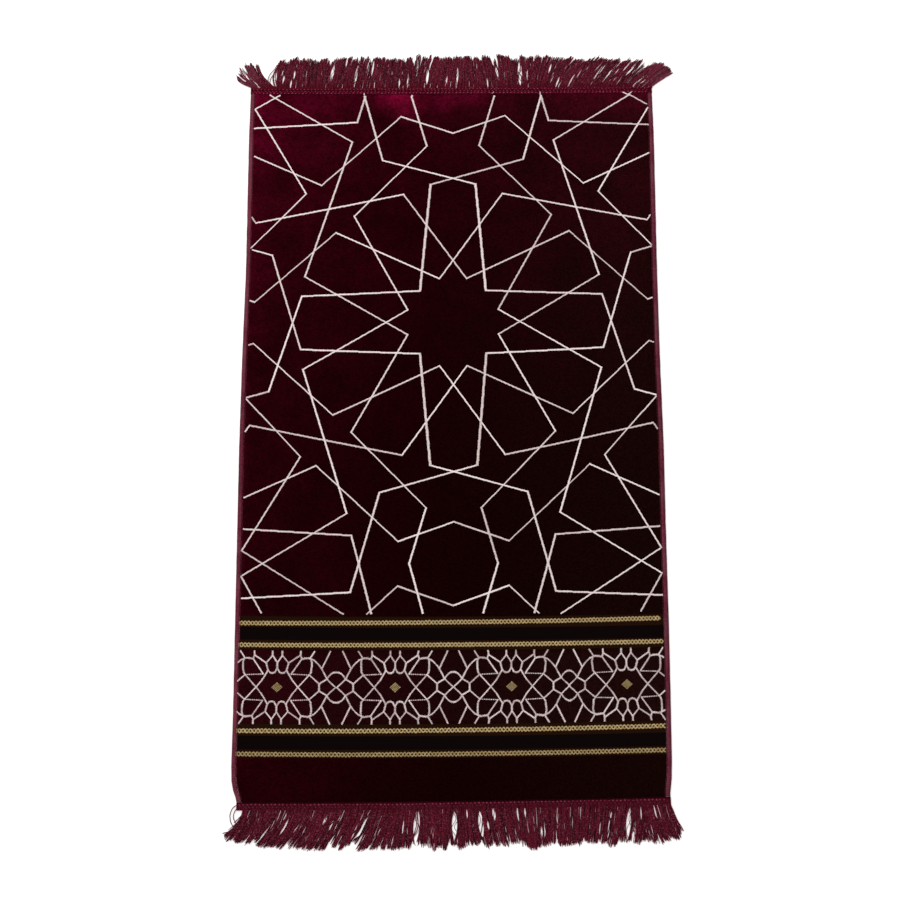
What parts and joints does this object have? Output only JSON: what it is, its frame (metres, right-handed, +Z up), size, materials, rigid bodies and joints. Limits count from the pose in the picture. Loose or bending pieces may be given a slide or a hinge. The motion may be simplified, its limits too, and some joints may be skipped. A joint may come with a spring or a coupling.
{
  "type": "prayer rug",
  "caption": "Flat oblong velvet prayer rug with an overlocked binding down each long side and a sewn-on tape with a loose thread fringe across each end.",
  "frame": {"origin": "on the floor, under the middle of the whole rug's bounding box, fringes included", "axes": "+Z up from the floor, +Y along the rug towards its head end, +X across it to the right as seen from the foot"},
  "size_m": [0.7126, 1.2962, 0.0042],
  "materials": {
    "pile_velvet": "short velvet pile",
    "overlock_yarn": "close overlock stitches in matt yarn",
    "fringe_yarn": "loose twisted yarn"
  },
  "bodies": {
    "root": {"rug_cloth": "pile_velvet", "binding_left": "overlock_yarn", "binding_right": "overlock_yarn", "fringe_head": "fringe_yarn", "fringe_foot": "fringe_yarn"}
  },
  "joints": []
}
